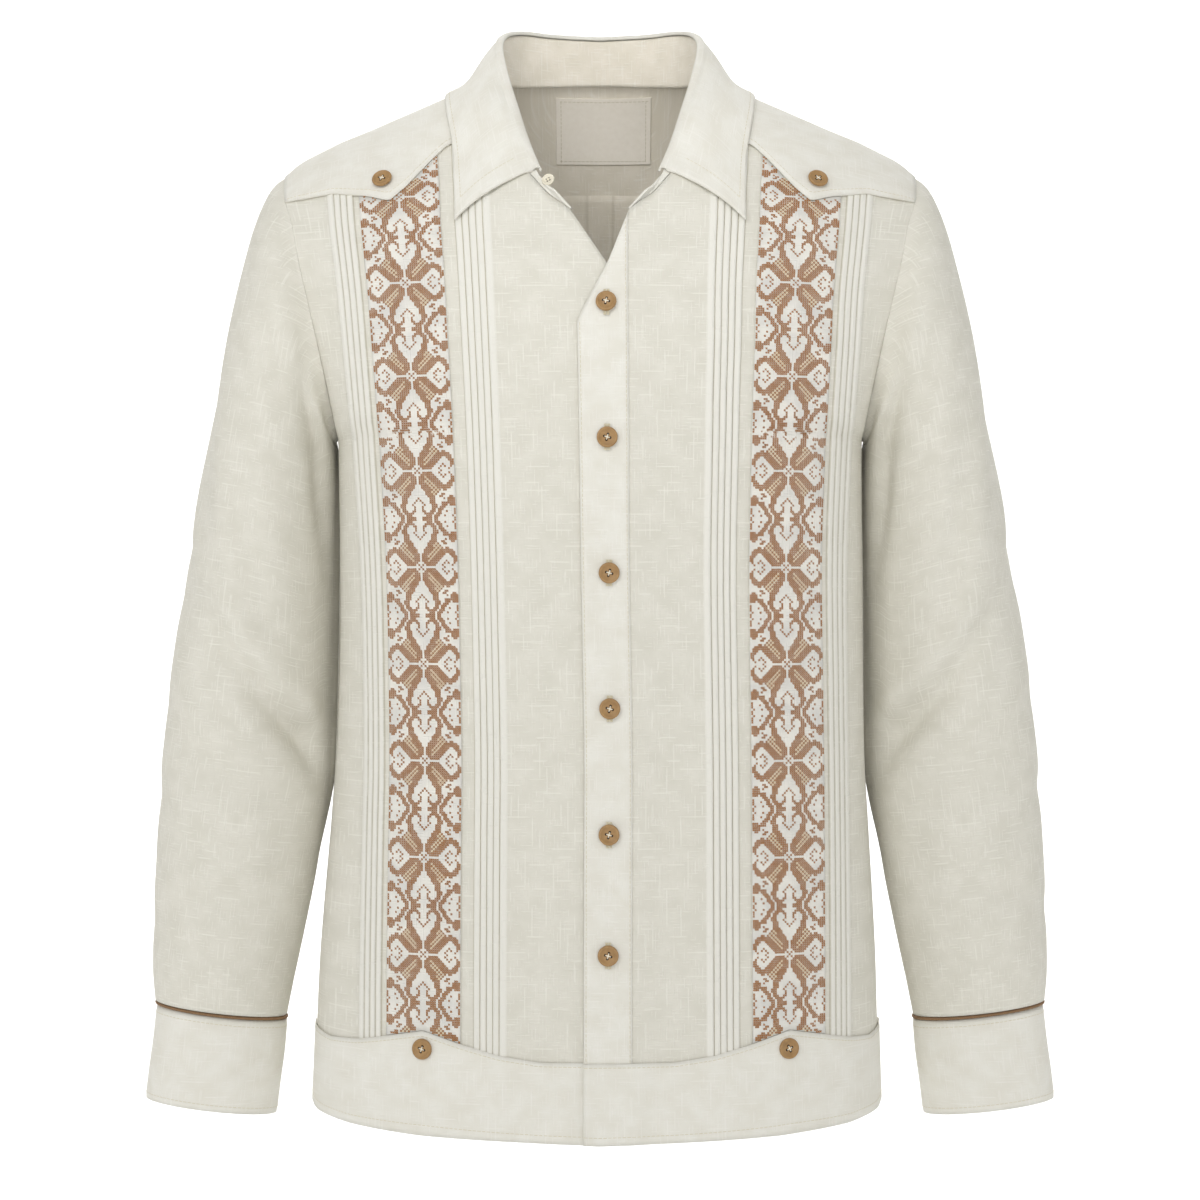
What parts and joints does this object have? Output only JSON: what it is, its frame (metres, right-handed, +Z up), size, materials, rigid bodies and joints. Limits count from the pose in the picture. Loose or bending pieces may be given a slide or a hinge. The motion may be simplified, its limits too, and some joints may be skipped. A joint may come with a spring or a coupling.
{
  "type": "guayabera_shirt",
  "caption": "Long-sleeved linen guayabera shirt, hollow and filled out, with pin tucks, cross-stitched strips, pointed yoke flaps, wood buttons and corded cuffs",
  "frame": {"origin": "middle of the neck opening at the height of the neck side points, where the wearer's neck and shoulders carry the shirt", "axes": "+Z up, the front faces -Y, the wearer's left is at +X"},
  "size_m": [0.641, 0.2415, 0.7722],
  "materials": {
    "linen": "matte",
    "linen_double": "matte",
    "embroidery": "matte",
    "cord": "matte",
    "label_tape": "matte",
    "wood": "satin"
  },
  "bodies": {
    "root": {"front_left": "linen", "front_right": "linen", "back": "linen", "placket": "linen_double", "embroidery_left": "embroidery", "embroidery_right": "embroidery", "hem_band_front_left": "linen_double", "hem_band_front_right": "linen_double", "hem_band_back": "linen_double", "yoke": "linen_double", "sleeve_left": "linen", "cuff_left": "linen_double", "piping_left": "cord", "sleeve_right": "linen", "cuff_right": "linen_double", "piping_right": "cord", "collar_stand": "linen_double", "collar_fall": "linen_double", "label": "label_tape", "button_front_1": "wood", "button_front_2": "wood", "button_front_3": "wood", "button_front_4": "wood", "button_front_5": "wood", "button_front_6": "wood", "button_yoke_left": "wood", "button_hem_left": "wood", "button_yoke_right": "wood", "button_hem_right": "wood", "button_cuff_left": "wood", "button_cuff_right": "wood", "button_stand": "wood"}
  },
  "joints": []
}
